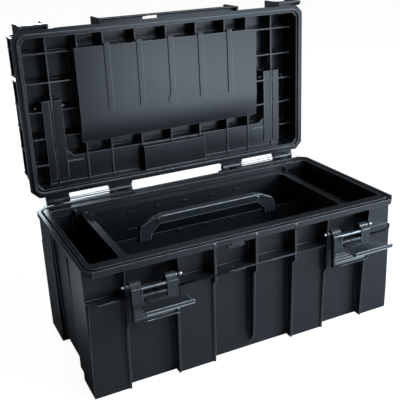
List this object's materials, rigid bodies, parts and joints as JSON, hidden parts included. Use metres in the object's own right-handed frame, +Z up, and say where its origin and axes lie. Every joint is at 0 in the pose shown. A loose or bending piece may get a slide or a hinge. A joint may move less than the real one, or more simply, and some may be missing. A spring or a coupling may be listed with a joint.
{
  "type": "tool case",
  "caption": "Hard plastic tool case with ribbed walls, a hinged lid with a recessed top and fold-down handle, toggle latches and a lift-out tray.",
  "frame": {"origin": "middle of the flat underside of the body", "axes": "+Z up, +X along the case to the right seen from the latches, +Y from the latches to the hinge; drawn with the lid open at 90 degrees"},
  "size_m": [0.538, 0.3997, 0.5117],
  "materials": {
    "body_plastic": "moulded polypropylene, fine texture",
    "lid_plastic": "moulded polypropylene, fine texture",
    "tray_plastic": "moulded polypropylene, fine texture",
    "handle_plastic": "moulded polypropylene, fine texture",
    "latch_plastic": "moulded nylon, slight sheen",
    "pin_steel": "plain drawn steel rod"
  },
  "bodies": {
    "case": {"body_shell": "body_plastic", "hinge_pin_left": "pin_steel", "hinge_pin_right": "pin_steel", "latch_pin_left": "pin_steel", "latch_pin_right": "pin_steel"},
    "lid": {"lid_shell": "lid_plastic", "handle_pin_left": "pin_steel", "handle_pin_right": "pin_steel"},
    "handle": {"carry_handle": "handle_plastic"},
    "lever_left": {"latch_lever_left": "latch_plastic", "lever_rod_left": "pin_steel", "claw_pin_left": "pin_steel"},
    "lever_right": {"latch_lever_right": "latch_plastic", "lever_rod_right": "pin_steel", "claw_pin_right": "pin_steel"},
    "claw_left": {"latch_claw_left": "latch_plastic"},
    "claw_right": {"latch_claw_right": "latch_plastic"},
    "tray": {"tray_tub": "tray_plastic", "tray_handle": "tray_plastic"}
  },
  "joints": [
    {"name": "lid_hinge", "type": "hinge", "parent": "case", "child": "lid", "pos_m": [0, 0.1498, 0.2139], "axis": [-1, 0, 0], "range_deg": [-90, 0]},
    {"name": "lever_left_pivot", "type": "hinge", "parent": "case", "child": "lever_left", "pos_m": [-0.1705, -0.1367, 0.1758], "axis": [-1, 0, 0], "range_deg": [0, 85]},
    {"name": "lever_right_pivot", "type": "hinge", "parent": "case", "child": "lever_right", "pos_m": [0.1705, -0.1367, 0.1758], "axis": [-1, 0, 0], "range_deg": [0, 85]},
    {"name": "claw_left_pivot", "type": "hinge", "parent": "lever_left", "child": "claw_left", "pos_m": [-0.1705, -0.144, 0.159], "axis": [1, 0, 0], "range_deg": [-86.5, 0]},
    {"name": "claw_right_pivot", "type": "hinge", "parent": "lever_right", "child": "claw_right", "pos_m": [0.1705, -0.144, 0.159], "axis": [1, 0, 0], "range_deg": [-86.5, 0]},
    {"name": "carry_handle_pivot", "type": "hinge", "parent": "lid", "child": "handle", "pos_m": [0, 0.1769, 0.3707], "axis": [1, 0, 0], "range_deg": [0, 90]},
    {"name": "tray_lift", "type": "slide", "parent": "case", "child": "tray", "axis": [0, 0, 1], "range_m": [0, 0.13]}
  ]
}
